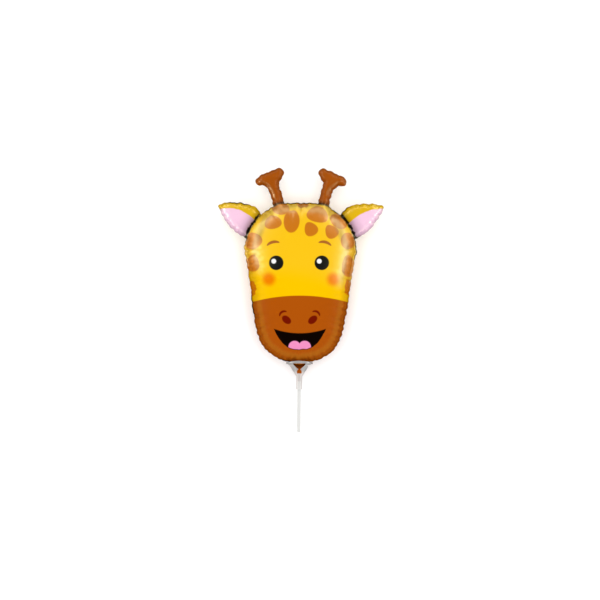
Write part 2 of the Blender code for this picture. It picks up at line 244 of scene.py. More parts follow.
def pressed_field(points, faces, free, fixed):
    """The field on a flat mesh that takes the fixed values off the free points and bears an even load."""
    count = len(points)
    load = np.zeros(count)
    rows, columns, values = [], [], []
    for a, b, c in ((0, 1, 2), (1, 2, 0), (2, 0, 1)):
        u = points[faces[:, a]] - points[faces[:, c]]
        v = points[faces[:, b]] - points[faces[:, c]]
        cross = np.abs(u[:, 0] * v[:, 1] - u[:, 1] * v[:, 0])
        rows.append(faces[:, a])
        columns.append(faces[:, b])
        values.append(np.einsum("ij,ij->i", u, v) / np.maximum(cross, TINY) / 2)
        load += np.bincount(faces[:, a], cross / 6, count)
    rows, columns, values = map(np.concatenate, (rows, columns, values))
    diagonal = np.bincount(np.concatenate([rows, columns]), np.tile(values, 2), count)

    def stiff(field):
        """The stiffness matrix times a field."""
        return (diagonal * field - np.bincount(rows, values * field[columns], count)
                - np.bincount(columns, values * field[rows], count))

    field = np.where(free, 0.0, fixed)
    rest = np.where(free, load - stiff(field), 0)
    scale = np.where(free, 1 / np.maximum(diagonal, TINY), 0)
    search = scale * rest
    power = rest @ search
    start = power
    for _ in range(SOLVE_ROUNDS):
        pushed = np.where(free, stiff(search), 0)
        share = power / (search @ pushed)
        field += share * search
        rest -= share * pushed
        ready = scale * rest
        after = rest @ ready
        if after < SOLVED_SHARE * start:
            break
        search = ready + after / power * search
        power = after
    return field


# Where things lie, read from the frame
film_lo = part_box("foil_balloon")[0]
stick_lo, stick_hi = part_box("stick")
TAIL_LENGTH = 0.0122
MIDDLE_Z = (stick_lo[2] + stick_hi[2]) / 2
CHIN_Y = film_lo[1] + TAIL_LENGTH

# The photograph's camera, straight above the object
PIXEL = 0.00142
PHOTO_PIXELS = 600
CAMERA_HEIGHT = 2.5
CAMERA_ROLL = math.radians(0.57)
SENSOR_WIDTH = 36.0

# Puckers and wrinkles of the film
PUCKER_SPACING = (0.0042, 0.0110)
PUCKER_WIDTH = (0.0009, 0.0019)
PUCKER_LENGTH = (0.008, 0.026)
PUCKER_DEPTH = (0.0008, 0.0030)
PUCKER_LEAN = 0.25
PUCKER_SPREAD = 0.9
PUCKER_POWERS = (1.5, 1.6)
PUCKER_LOFT = 0.0140
PUCKER_SEED = 11
LIMB_TAUTNESS = 0.6
LIMB_REACH = 0.006
PULL_SHARE = 0.55
PULL_WIDTH = 0.0028
PULL_REACH = 0.008
SEAM_WAVE = 0.0009
SEAM_WAVE_TURNS = (17, 29, 41, 56, 73)
SEAM_REACH = 0.007
FILM_HALF = 0.00015
NOTCH_REACH = 4

# Filling tail
TAIL_ROOT_Y = 0.0026
TAIL_NECK_Y = -0.0068
TAIL_HALF_WIDTHS = ((-0.0026, 0.0094), (0.0012, 0.0078), (0.0034, 0.0056), (0.0047, 0.0031), (0.0054, 0.0019),
                    (0.0068, 0.0018), (0.0086, 0.0033), (0.0122, 0.0033))
TAIL_GAP = 0.0008
TAIL_ROWS = 40
TAIL_COLUMNS = 24
TAIL_PLEAT = 0.0005
TAIL_PLEAT_WAVES = ((7.3, 260), (3.1, 410))
TAIL_PLEAT_START = 0.004
TAIL_WELD_DEPTH = 0.004

# Cup
CUP_RIM_Y = 0.0031
CUP_RADIUS = 0.0188
LIP_HEIGHT = 0.0020
LIP_WALL = 0.0016
CUP_WALL = 0.0011
SHOULDER_Y = -0.0025
SHOULDER_RADIUS = 0.0129
FOOT_Y = -0.0170
COLLAR_RADIUS = 0.0040
COLLAR_BORE = 0.0028
COLLAR_END_Y = -0.0351
CUP_SADDLE = 0.0030
STOP_BORE = 0.0018
WINDOW_HALF = 0.0092
WINDOW_TOP_Y = 0.0023
WINDOW_CORNER = 0.0012
SLOT_HALF = 0.0022
SLOT_END_Y = -0.0086
LIP_ROUND = 0.0004
LIP_CUT = 0.3
SHOULDER_ROUND = ((0.0006, 0.0007), (0, 0), (-0.0004, -0.0008))
FOOT_ROUND = ((0.0005, 0.0008), (0, 0))
COLLAR_EDGE = 0.0003
BORE_EDGE = 0.0002
STOP_GAP = 0.0003
TURN_STEPS = 96
SHARP_ANGLE = math.radians(40)
SLIVER = 1e-5

# Stick
STICK_RADIUS = 0.0025
STICK_BORE = 0.0018
STICK_TOP_Y = -0.0235
STICK_END_Y = -0.0956
STICK_EDGE = 0.0003


def add_object(name, data):
    """A new object in the scene."""
    item = bpy.data.objects.new(name, data)
    bpy.context.collection.objects.link(item)
    return item


def mesh_of(shape, name):
    """The mesh of a finished bmesh."""
    mesh = bpy.data.meshes.new(name)
    shape.to_mesh(mesh)
    shape.free()
    return mesh


def quads(a, b, c, d):
    """Two triangles for each of the quads a, b, c, d."""
    return np.vstack([np.column_stack([x.ravel() for x in corners]) for corners in ((a, b, c), (a, c, d))])


def pucker_fields(along, inward, total):
    """Depth of the pinched folds that run in from the weld, and how far they pull the weld in."""
    draw = random.Random(PUCKER_SEED)
    depth, pull = np.zeros((2, len(along)))
    place = 0.0
    while place < total - PUCKER_SPACING[0]:
        width = draw.uniform(*PUCKER_WIDTH)
        reach = draw.uniform(*PUCKER_LENGTH)
        fold = draw.uniform(*PUCKER_DEPTH)
        lean = draw.uniform(-PUCKER_LEAN, PUCKER_LEAN)
        away = np.abs((along - place - lean * inward + total / 2) % total - total / 2)
        spread = width * (1 + PUCKER_SPREAD * inward / reach)
        depth += fold * np.exp(-(away / spread) ** PUCKER_POWERS[0] - (inward / reach) ** PUCKER_POWERS[1])
        pull += fold * np.exp(-(away / PULL_WIDTH) ** 2 - inward / PULL_REACH)
        place += draw.uniform(*PUCKER_SPACING)
    return depth, pull * PULL_SHARE


def seam_wave(along, inward, total):
    """How the weld's plane waves up and down round the loop."""
    draw = random.Random(PUCKER_SEED)
    wave = np.zeros(len(along))
    for turns in SEAM_WAVE_TURNS:
        wave += np.cos(2 * math.pi * turns * along / total + draw.uniform(0, 2 * math.pi))
    return SEAM_WAVE * wave / math.sqrt(len(SEAM_WAVE_TURNS)) * np.exp(-inward / SEAM_REACH)


def photo_places(places):
    """Where the photograph's camera sees points of the object, in its pixels."""
    scale = CAMERA_HEIGHT / (CAMERA_HEIGHT - (places[:, 2] - MIDDLE_Z)) / PIXEL
    cos, sin = math.cos(CAMERA_ROLL), math.sin(CAMERA_ROLL)
    right = places[:, 0] * cos + places[:, 1] * sin
    up = places[:, 1] * cos - places[:, 0] * sin
    return PHOTO_PIXELS / 2 + np.c_[right, -up] * scale[:, None]


def corner_normals(places, faces):
    """Unit normals at the corners of a mesh."""
    corners = places[faces]
    flat = np.cross(corners[:, 1] - corners[:, 0], corners[:, 2] - corners[:, 0])
    normals = np.zeros_like(places)
    np.add.at(normals, faces, flat[:, None])
    return normals / np.linalg.norm(normals, axis=1)[:, None]


def head_loop():
    """The head's own outline, without horns and ears."""
    right = head_side(EDGE_STEP)
    return np.vstack([right, right[1:-1][::-1] * (-1, 1)])


def blown_panel():
    """Flat places, triangles, weld and heights of one panel, and the film's outer edge."""
    outer, crease = film_outline()
    outer = even_steps(closed(outer), EDGE_STEP)[:-1]
    weld = even_steps(closed(inset(outer, WELD_WIDTH)), EDGE_STEP)[:-1]
    crease = even_steps(crease, EDGE_STEP)
    gaps = nearest_on_line(crease, closed(weld))[0]
    crease = crease[inside(crease, weld) & (gaps > CREASE_CLEARANCE * EDGE_STEP)]
    points, faces = film_mesh(weld, [crease, crease * (-1, 1)])
    order = np.arange(len(points))
    on_weld = order < len(weld)
    on_crease = (order < len(weld) + 2 * len(crease)) & ~on_weld
    pinch = np.where(on_crease, (CREASE_HEIGHT / FULLNESS) ** 2 / 2, 0)
    pressed = pressed_field(points, faces, ~(on_weld | on_crease), pinch)
    return points, faces, len(weld), outer, FULLNESS * np.sqrt(2 * np.maximum(pressed, 0))


def outer_partners(weld, outer):
    """For each place of the weld's inner edge, its place on the film's outer edge."""
    rim = closed(outer)
    _, along, _ = nearest_on_line(weld, rim)
    lengths = lengths_along(rim)
    total = lengths[-1]
    even = np.arange(len(weld)) * total / len(weld)
    drift = (along - even + total / 2) % total - total / 2
    drift = np.mean([np.roll(drift, step) for step in range(-NOTCH_REACH, NOTCH_REACH + 1)], axis=0)
    along = (drift + even) % total
    return np.column_stack([np.interp(along, lengths, rim[:, axis]) for axis in range(2)])


def film_shell():
    """Places, faces, which faces look back, print places and weld depths of the blown film."""
    points, faces, welded, outer, heights = blown_panel()
    weld = points[:welded]
    inward, along, nearest = nearest_on_line(points, closed(weld))
    total = lengths_along(closed(weld))[-1]
    depth, pull = pucker_fields(along, inward, total)
    wave = seam_wave(along, inward, total)
    away = points - nearest
    away[:welded] = inward_of(weld)
    away /= np.maximum(np.linalg.norm(away, axis=1), SAME_PLACE)[:, None]
    head = head_loop()
    gaps, _, _ = nearest_on_line(points, closed(head))
    slack = np.where(inside(points, head), 1, 1 - LIMB_TAUTNESS * np.clip(gaps / LIMB_REACH, 0, 1))
    loft = slack * heights / (heights + PUCKER_LOFT)

    edge = outer_partners(weld, outer)
    places, prints, depths, shell = [], [], [], []
    for side in (1, -1):
        base = np.c_[points, side * (heights + FILM_HALF)]
        flat = np.c_[edge, np.full(welded, side * FILM_HALF)]
        prints += [base.copy(), flat.copy()]
        normals = corner_normals(base, faces) * side
        base -= normals * (depth * loft)[:, None]
        base[:, :2] += away * pull[:, None]
        base[:, 2] += wave
        flat[:, :2] += away[:welded] * pull[:welded, None]
        flat[:, 2] += wave[:welded]
        places += [base, flat]
        depths += [inward, np.full(welded, -WELD_WIDTH)]
    count = len(points)
    ring = np.arange(welded)
    following = np.roll(ring, -1)
    for start in (0, count + welded):
        rim = start + count
        shell += [faces + start, quads(start + ring, rim + ring, rim + following, start + following)]
    top, bottom = count, 2 * count + welded
    shell.append(quads(bottom + ring, bottom + following, top + following, top + ring))
    looks_back = np.repeat([0, 0, 1, 1, 0], [len(part) for part in shell])
    seam = np.c_[np.concatenate(depths), np.tile(np.concatenate([along, along[:welded]]), 2)]
    return np.vstack(places), np.vstack(shell), looks_back, np.vstack(prints), seam


def cup_radius(y):
    """Outer radius of the funnel at a height."""
    return np.interp(y, (FOOT_Y, SHOULDER_Y, CUP_RIM_Y), (COLLAR_RADIUS, SHOULDER_RADIUS, CUP_RADIUS))


def tail_strip():
    """Places and faces of the flat tail: from the chin down into the cup and out of its slot."""
    heights = np.linspace(TAIL_ROOT_Y, -TAIL_LENGTH, TAIL_ROWS)
    downs, widths = zip(*TAIL_HALF_WIDTHS)
    halves = np.interp(-heights, downs, widths)
    share = np.clip(heights / TAIL_NECK_Y, 0, 1)
    rise = (cup_radius(heights) + TAIL_GAP) * share ** 2 * (3 - 2 * share)
    across = np.linspace(-1, 1, TAIL_COLUMNS)
    y, u = np.meshgrid(heights, across, indexing="ij")
    x = u * halves[:, None]
    (u1, y1), (u2, y2) = TAIL_PLEAT_WAVES
    pleats = TAIL_PLEAT * np.sin(u1 * u + y1 * y) * np.cos(u2 * u - y2 * y)
    z = rise[:, None] + pleats * np.clip(-y / TAIL_PLEAT_START, 0, 1)
    layers = [np.c_[x.ravel(), y.ravel(), (z + side * FILM_HALF).ravel()] for side in (1, -1)]
    index = np.arange(x.size).reshape(x.shape)
    front = quads(index[:-1, :-1], index[1:, :-1], index[1:, 1:], index[:-1, 1:])
    loop = np.concatenate([index[:, 0], index[-1, 1:], index[-2::-1, -1], index[0, -2:0:-1]])
    after = np.roll(loop, -1)
    sides = quads(loop + x.size, after + x.size, after, loop)
    return np.vstack(layers), np.vstack([front, front[:, ::-1] + x.size, sides])


def make_film():
    """The foil envelope with its tail, one closed mesh for each."""
    places, faces, looks_back, prints, seam = film_shell()
    tail, tail_faces = tail_strip()
    head = head_loop()
    looks_back = np.concatenate([looks_back, np.zeros(len(tail_faces))])
    faces = np.vstack([faces, tail_faces + len(places)])
    places, prints = (np.vstack([film, tail]) for film in (places, prints))
    seam = np.vstack([seam, np.tile((TAIL_WELD_DEPTH, 0.0), (len(tail), 1))])
    gaps, _, _ = nearest_on_line(prints[:, :2], closed(head))
    limb = np.where(inside(prints[:, :2], head), -gaps, gaps) / PIXEL

    offset = (0, CHIN_Y, MIDDLE_Z)
    places = places + offset
    places[:, 2] = np.maximum(places[:, 2], film_lo[2])
    mesh = bpy.data.meshes.new("foil")
    mesh.from_pydata(places.tolist(), [], faces.tolist())
    shape = bmesh.new()
    shape.from_mesh(mesh)
    bmesh.ops.recalc_face_normals(shape, faces=shape.faces)
    shape.to_mesh(mesh)
    shape.free()
    mesh.shade_smooth()
    mesh.polygons.foreach_set("material_index", looks_back.astype(np.int32))
    for name, vectors in ((PRINT_PLACE, np.c_[photo_places(prints + offset), limb]),
                          (WELD_PLACE, np.c_[seam / MILLIMETRE, np.zeros(len(seam))])):
        field = mesh.attributes.new(name, "FLOAT_VECTOR", "POINT")
        field.data.foreach_set("vector", vectors.astype(np.float32).ravel())
    return add_object("giraffe_film", mesh)


# Print colours, with painted shade, painted highlight and painted light colours among them, as eight-bit
# values
YELLOW = (255, 200, 0)
# Painted shade: a darker yellow toward the rim
YELLOW_RIM_SHADE = (232, 176, 0)
SPOT = (210, 118, 0)
MUZZLE = (180, 85, 10)
# Painted shade: a darker brown toward the muzzle's rim
MUZZLE_RIM_SHADE = (168, 82, 6)
# Painted highlight: a light ochre band a little inside the muzzle's rim
MUZZLE_HIGHLIGHT = (186, 112, 26)
HORN = (170, 82, 8)
# Painted light: both tail inks are lighter than the muzzle's, the top most, against the shade inside the cup
TAIL_ROOT = (252, 146, 26)
TAIL = (206, 108, 12)
CHEEK = (246, 132, 0)
NOSTRIL = (118, 20, 2)
MOUTH = (14, 4, 2)
TONGUE = (248, 150, 200)
EYE = (12, 12, 22)
EYE_LIGHT = (250, 250, 250)
BROW = (176, 96, 26)
EAR_INNER = (255, 208, 236)
EAR_OUTER = (234, 186, 0)
EAR_SHADE = (150, 118, 150)
# Painted shade colour, for the ear roots and along the seam
DARK_SHADE = (54, 42, 4)
# Black for painted shade and dark lines at the roots, creases and seam
BLACK_SHADE_AND_LINE = (8, 6, 4)
# Painted sheen colours for the crown, over the spots and over the yellow
SHEEN = (190, 160, 100)
GROUND_SHEEN = (248, 226, 112)
INK_SHARE = 0.728

# Printed shapes in the photograph's pixels: centre, half size, turn in degrees, egg and corner shares
SPOTS = (
    ((280.6, 208.2), (9, 6.4), 8),
    ((272.9, 222.2), (8.5, 7), -12, 0.05, 0.05),
    ((291.6, 221.4), (8, 11.6), 4, -0.12, 0.03),
    ((302.7, 204.6), (6, 2.6), 0),
    ((310.8, 229), (6.6, 7.3), -28, 0.18, 0.03),
    ((317.7, 214.5), (10.7, 8.2), 12, 0.05, 0.06),
    ((331.6, 231.4), (6.5, 7.3), -34, 0.18, 0.03),
    ((338.9, 220.9), (9.6, 6.6), 40, 0.05, 0),
    ((348.2, 240.9), (7.4, 8.4), -14, 0.08, 0),
    ((348.8, 266.6), (6.9, 11), -4, 0, 0.05),
    ((348.6, 287.4), (3.6, 8), 0),
    ((253, 240.9), (8.9, 8.2), -30, 0.05, 0.05),
    ((252, 263.5), (7, 8.6), 6, 0.05, 0.05),
    ((251, 288.8), (4.4, 7.8), 0),
)
BACK_SPOTS = (
    ((300, 224), (15, 13), 10, 0.1, 0.1),
    ((268, 240), (13, 14), -20, 0.1, 0.05),
    ((332, 243), (13, 13), 20, -0.1, 0.08),
    ((299, 259), (14, 11), 0, 0.05, 0.12),
    ((262, 275), (10, 13), 5, 0.05, 0.05),
    ((338, 277), (9, 13), -5, 0.05, 0.05),
    ((288, 285), (9, 8), 15, 0, 0.1),
    ((313, 287), (9, 7.5), -20, 0, 0.1),
)
# Dark stretches along the seam, part painted shade and part the film's dark edge
SEAM_LINES = (
    ((300, 203), (19, 4)),
    ((340, 210), (12, 4), -30),
    ((238, 203), (14, 3.5)),
    ((357.5, 250), (4, 15)),
    ((251.5, 307), (4, 15)),
    ((292, 361), (18, 3)),
)
EYES = ((276.2, 262.8), (321.8, 262.8))
EYE_SIZE = (7.3, 7.3)
EYE_GLINT_SHIFT = (-2.5, -1.6)
EYE_GLINT_SIZE = (2.4, 2.4)
CHEEKS = ((268.8, 279.2), (333.3, 279.2))
CHEEK_SIZE = (7, 7)
CHEEK_FADE = (-2.6, 4.4)
NOSTRILS = (((286.5, 319.8), 40), ((312.7, 319.8), -40))
NOSTRIL_SIZE = (5.2, 3.5)
TONGUE_LOBES = ((294.6, 347.2), (304.8, 347.2))
TONGUE_SIZE = (6.2, 6.3)
TONGUE_GAP = 0.7
BROWS = (
    ((266.8, 245.8), (272.9, 242), (279.6, 242.6)),
    ((318.5, 242.6), (325.2, 242), (331.3, 245.8)),
)
BROW_HALF = 1.45
NOSTRIL_ARCS = (
    ((279.6, 316.4), (282.6, 311.6), (286.8, 311.9)),
    ((312.3, 311.9), (316.9, 311.6), (319.7, 316.2)),
)
NOSTRIL_ARC_HALF = 1.05
HORN_STREAKS = (
    ((258.5, 181.2), (268.5, 186.2), (274.8, 199.5)),
    ((342, 181.5), (331.5, 187), (326.3, 196)),
)
HORN_STREAK_HALF = 1.6
HORN_STREAK_SOFT = 0.9
MUZZLE_TOP = (299.5, 295.6, 0.00278)
MOUTH_HALF = 26.3
MOUTH_TOP = (299.9, 333.2, -0.0063612)
MOUTH_BOTTOM = (350.2, 21.4)
MOUTH_POWER = 2.7
LEFT_EAR_LINE = (229.2, 207.9, 0.0185)
RIGHT_EAR_LINE = (379, 208.8, 0.0163)
MIDDLE_X = PHOTO_PIXELS / 2
EDGE_SOFT = 0.45
SPOT_LOBES = 3.0
ARC_PAST = -5.0

# Where inks, painted shade and painted highlights fade in: a field's name, where it starts and where it is
# full.
# Depth and along are in millimetres from the weld and round it; x, y, side, limb and reach are in the
# photograph's pixels
# Painted shade: the full yellow and muzzle inks fade in away from the weld, darker toward it
YELLOW_IN = ("depth", 0, 14)
MUZZLE_IN = ("depth", 0, 10)
MUZZLE_HIGHLIGHT_BAND = (("depth", 3, 7), ("depth", 15, 9))
TAIL_FROM = ("y", 361, 363)
TAIL_FADE = ("y", 366, 369)
EAR_PLACE = (("side", 34, 36), ("y", 199, 200))
EAR_ROOTS = (("side", 38, 42), ("y", 244, 238), ("y", 200, 203))
EAR_LEFT = ("x", 300, 299)
EAR_RIGHT = ("x", 300, 301)
EAR_INNER_SHADE = ("limb", 15, 1)
ROOT_SHADE = (("limb", 8, 0), ("limb", -1.6, -0.6))
HORN_PLACE = (("side", 47, 44), ("y", 206, 203))
HORN_BASE_SHADE = (("limb", 5, 0), ("side", 36, 35))
HORN_ROOT_SHADE = (1.5, 0.4)
HORN_ROOT_SHADE_PLACE = (("side", 36, 35), ("side", 15, 16), ("y", 214, 213))
CREASE_MIDDLE = 0.7
CREASE_LINE = (1.9, 0.6)
CREASE_NOISE = (0.22, 1)
CREASE_RAGGED = (5, -2.5)
SEAM_SHADE_IN = ("depth", 2, -2.4)
SEAM_LINE = ("depth", -0.4, -1.4)
SEAM_PATCH = (-1, 2)
CROWN = ("y", 222, 208)
CROWN_RISE = ("y", 242, 216)
CROWN_REACH = 4.0
SHEEN_BAND = (("reach", 4.5, 8), ("reach", 17, 12))
GROUND_SHEEN_END = ("reach", 13.5, 8.5)
GLINT_SHADE_START = ("reach", 6.5, 10)

# How strongly the fading inks, painted shade and painted highlights cover
MUZZLE_HIGHLIGHT_BAND_SHARE = 0.55
EAR_SHADE_SHARE = 0.50
ROOT_SHADE_SHARE = 0.45
HORN_BASE_SHADE_SHARE = 0.60
HORN_ROOT_SHADE_SHARE = 0.75
SEAM_SHADE_SHARE = 0.30
SEAM_LINE_SHARE = 0.9
SHEEN_SHARE = 0.42
GLINT_SHADE_SHARE = 0.42

# Gloss and fine relief of the film
FILM_ROUGHNESS = 0.36
FILM_GLOSS = (0.29, 0.004)
GLOSS_SLANT = 0.17
GLOSS_END = (262, 286)
WELD_GLOSS = (-1.5, 4, 0.25, 1)
HORN_GLOSS = (0.20, 2.60)
UPPER_GLINT = (1, 0.97, 0.42, 1)
MUZZLE_GLINT = (0.55, 0.80, 0.25, 1)
STREAKS_PER_MM = 0.42
STREAK_STRETCH = 7.0
STREAK_NOISE = (1, 2)
STREAK_REACH = ("depth", 26, 7)
STREAK_RELIEF = 0.0003
RIPPLE_NOISE = (0.16, 3)
RIPPLE_SHARE = 0.6

# Plastics: colour, roughness and transmission; the cup's painted shade and painted light are placed in metres
# from the chin, the stick's top or the middle
CUP_PLASTIC = ((240, 232, 228), 0.34, 0.34)
# Painted shade colour for the cup's lip and the funnel's middle
CUP_PAINTED_SHADE = (196, 193, 191)
STICK_PLASTIC = ((234, 234, 231), 0.5)
# Painted light where the tube shows through the collar
TUBE_SHOWN_LIGHT = (255, 253, 250)
PLASTIC_GLOSS = 0.12
PLASTIC_IOR = 1.49
MOTTLE_NOISE = (220, 3)
MOTTLE_DARKER = 0.94
MOTTLE_ROUGHNESS = 0.12
LIP_SHADE = (-0.0004, 0.0012)
MIDDLE_SHADE = (0.0125, 0.0075)
FUNNEL_SHADE = (-0.0125, -0.0065)
TUBE_TOP = (0.0005, -0.0003)
TUBE_SIDE = (0.0027, 0.0020)

# Studio: a lamp above that lights, and a ring of low boxes (rise in degrees, power) that only show as glints
WORLD_LIGHT = 1.0
FLOOR_REACH = 6.0
FLOOR_COLOUR = (0.95, 0.95, 0.95, 1)
FLOOR_ROUGHNESS = 0.9
AIM = (0, 0.03, 0.05)
KEY_PLACE = (0, 0.1, 2.6)
KEY_SIZE = (1.6, 1.6)
KEY_POWER = 29.5
HALO = ((4.5, 34), (0, 24), (-6, 8), (0, 24), (4.5, 34), (4.5, 9), (4.5, 9), (4.5, 9))
HALO_PITCH = 45
HALO_REACH = 1.2
HALO_SIZE = (0.9, 0.36)

PRINT_PLACE = "print_place"
WELD_PLACE = "weld_place"


def ink(colour):
    """A linear colour from the eight-bit values that it is seen as in the studio's light."""
    shares = [value / 255 for value in colour]
    return (*(INK_SHARE * (c / 12.92 if c < 0.04045 else ((c + 0.055) / 1.055) ** 2.4) for c in shares), 1)


class Nodes:
    """Adds nodes to a tree; a value may be a number, a tuple or another node's output."""

    def __init__(self, tree):
        self.tree = tree

    def add(self, kind, *values, output=0, **settings):
        """One node, its settings and its inputs in order; None leaves an input as it is."""
        node = self.tree.nodes.new("ShaderNode" + kind)
        for name, setting in settings.items():
            setattr(node, name, setting)
        for socket, value in zip(node.inputs, values):
            self.feed(socket, value)
        return node.outputs[output]

    def feed(self, socket, value):
        """Link or set one input."""
        if isinstance(value, bpy.types.NodeSocket):
            self.tree.links.new(value, socket)
        elif value is not None:
            socket.default_value = value

    def math(self, operation, *values):
        return self.add("Math", *values, operation=operation)

    def line(self, value, factor, start):
        return self.math("MULTIPLY_ADD", value, factor, start)

    def minus(self, value, other):
        return self.math("SUBTRACT", value, other)

    def off(self, value, middle):
        """How far a value is from a middle one."""
        return self.math("ABSOLUTE", self.minus(value, middle))

    def times(self, *values):
        """The product of several values, or where all of several masks hold."""
        return reduce(lambda result, value: self.math("MULTIPLY", result, value), values)

    def highest(self, fields):
        """The greatest of several fields."""
        return reduce(lambda result, field: self.math("MAXIMUM", result, field), fields)

    def fade(self, field, start, end):
        """Smoothly from 0 to 1 as a field goes from start to end."""
        return self.add("MapRange", field, start, end, interpolation_type="SMOOTHSTEP")

    def paint(self, under, over, mask):
        """One colour laid over another."""
        node = self.tree.nodes.new("ShaderNodeMix")
        node.data_type = "RGBA"
        for place, value in ((0, mask), (6, under), (7, over)):
            self.feed(node.inputs[place], value)
        return node.outputs[2]

    def split(self, vector):
        return self.add("SeparateXYZ", vector).node.outputs


def group_of(name, vectors, numbers):
    """A node group with named inputs and one number out; returns it, its nodes and its inputs."""
    group = bpy.data.node_groups.new(name, "ShaderNodeTree")
    for labels, kind in ((vectors, "NodeSocketVector"), (numbers, "NodeSocketFloat")):
        for label in labels:
            group.interface.new_socket(label, in_out="INPUT", socket_type=kind)
    group.interface.new_socket("Inside", in_out="OUTPUT", socket_type="NodeSocketFloat")
    return group, Nodes(group), group.nodes.new("NodeGroupInput").outputs


def blob_group():
    """How far inside a rounded spot a place lies, in pixels."""
    group, nodes, (place, centre, half, turn, egg, corners, _) = group_of(
        "blob", ("Place", "Centre", "Half size"), ("Turn", "Egg", "Corners"))
    local = nodes.add("VectorMath", place, centre, operation="SUBTRACT")
    local = nodes.add("VectorRotate", local, None, None, turn, rotation_type="Z_AXIS")
    local = nodes.add("VectorMath", local, half, operation="DIVIDE")
    x, y, _ = nodes.split(local)
    x = nodes.math("DIVIDE", x, nodes.line(y, egg, 1.0))
    length = nodes.math("SQRT", nodes.math("ADD", nodes.times(x, x), nodes.times(y, y)))
    wave = nodes.math("COSINE", nodes.times(nodes.math("ARCTAN2", x, y), SPOT_LOBES))
    bulge = nodes.line(wave, nodes.times(corners, -1.0), 1.0)
    width, height, _ = nodes.split(half)
    result = nodes.times(nodes.minus(bulge, length), nodes.math("MINIMUM", width, height))
    group.links.new(result, group.nodes.new("NodeGroupOutput").inputs[0])
    return group


def arc_group():
    """How far inside an arc's stroke a place lies; the stroke tapers to its ends."""
    group, nodes, (place, centre, middle, radius, half, end, _) = group_of(
        "arc", ("Place", "Centre", "Middle"), ("Radius", "Half width", "End"))
    local = nodes.add("VectorMath", place, centre, operation="SUBTRACT")
    length = nodes.add("VectorMath", local, operation="LENGTH", output=1)
    towards = nodes.add("VectorMath", local, operation="NORMALIZE")
    turn = nodes.add("VectorMath", towards, middle, operation="DOT_PRODUCT", output=1)
    share = nodes.math("DIVIDE", nodes.minus(turn, end), nodes.minus(1.0, end))
    taper = nodes.math("SQRT", nodes.math("MAXIMUM", share, 0.0))
    inside_by = nodes.minus(nodes.times(half, taper), nodes.off(length, radius))
    past = nodes.times(nodes.math("LESS_THAN", share, 0.0), ARC_PAST)
    result = nodes.math("ADD", inside_by, past)
    group.links.new(result, group.nodes.new("NodeGroupOutput").inputs[0])
    return group


class Print(Nodes):
    """The printed picture: fields and colours over the film's print places."""

    def __init__(self, tree, blob, arc):
        super().__init__(tree)
        self.blob_tree = blob
        self.arc_tree = arc
        seen = self.add("Attribute", attribute_name=PRINT_PLACE, output=1)
        self.x, self.y, self.limb = self.split(seen)
        self.side = self.off(self.x, MIDDLE_X)
        self.place = self.add("CombineXYZ", self.x, self.y, 0.0)
        weld = self.add("Attribute", attribute_name=WELD_PLACE, output=1)
        self.depth, self.along, _ = self.split(weld)
        rise = self.times(self.where(CROWN_RISE), CROWN_REACH)
        self.reach = self.minus(rise, self.limb)
        self.spot = None

    def group(self, tree, values):
        """One use of a node group."""
        node = self.tree.nodes.new("ShaderNodeGroup")
        node.node_tree = tree
        for socket, value in zip(node.inputs, values):
            self.feed(socket, value)
        return node.outputs[0]

    def blob(self, centre, half, turn=0.0, egg=0.0, corners=0.0):
        """A rounded spot."""
        values = (self.place, (*centre, 0), (*half, 1), math.radians(-turn), egg, corners)
        return self.group(self.blob_tree, values)

    def blobs(self, centres, half):
        """Spots of one size."""
        return self.highest([self.blob(centre, half) for centre in centres])

    def arc(self, start, middle, end, half):
        """A stroke along the circle through three places."""
        start, middle, end = np.array((start, middle, end))
        sides = 2 * np.array([middle - start, end - start])
        centre = np.linalg.solve(sides, [middle @ middle - start @ start, end @ end - start @ start])
        radius = np.linalg.norm(start - centre)
        towards = (start + end) / 2 - centre
        towards *= np.sign(towards @ (middle - centre)) / np.linalg.norm(towards)
        reach = towards @ (start - centre) / radius
        return self.group(self.arc_tree, (self.place, (*centre, 0), (*towards, 0), radius, half, reach))

    def below(self, middle, top, bend):
        """How far below a parabola the place lies."""
        across = self.minus(self.x, middle)
        line = self.line(self.times(across, across), bend, top)
        return self.minus(self.y, line)

    def mask(self, field, soft=EDGE_SOFT):
        """Where a field is above zero."""
        return self.fade(field, -soft, soft)

    def where(self, *spans):
        """Where all of the named fields have faded in."""
        fades = [self.fade(getattr(self, field), start, end) for field, start, end in spans]
        return self.times(*fades)

    def lay(self, under, colour, mask, share=1.0):
        """An ink laid over a colour."""
        if share != 1.0:
            mask = self.times(mask, share)
        return self.paint(under, ink(colour), mask)


def ground(art, spots):
    """Yellow ground, spots, muzzle and tail, as on both sides of the balloon, with painted shade toward the
    rim, a painted highlight on the muzzle and painted light on the tail.
    """
    # Painted shade: the yellow darkens toward the rim
    colour = art.lay(ink(YELLOW_RIM_SHADE), YELLOW, art.where(YELLOW_IN))
    art.spot = art.mask(art.highest([art.blob(*each) for each in spots]))
    colour = art.lay(colour, SPOT, art.spot)
    # Painted shade: the muzzle's brown darkens toward the rim
    muzzle = art.lay(ink(MUZZLE_RIM_SHADE), MUZZLE, art.where(MUZZLE_IN))
    # Painted highlight: a light band a little inside the muzzle's rim
    muzzle = art.lay(muzzle, MUZZLE_HIGHLIGHT, art.where(*MUZZLE_HIGHLIGHT_BAND), MUZZLE_HIGHLIGHT_BAND_SHARE)
    colour = art.paint(colour, muzzle, art.mask(art.below(*MUZZLE_TOP)))
    # Painted light: the tail is lighter toward its top, against the shade inside the cup
    tail = art.lay(ink(TAIL_ROOT), TAIL, art.where(TAIL_FADE))
    return art.paint(colour, tail, art.where(TAIL_FROM))


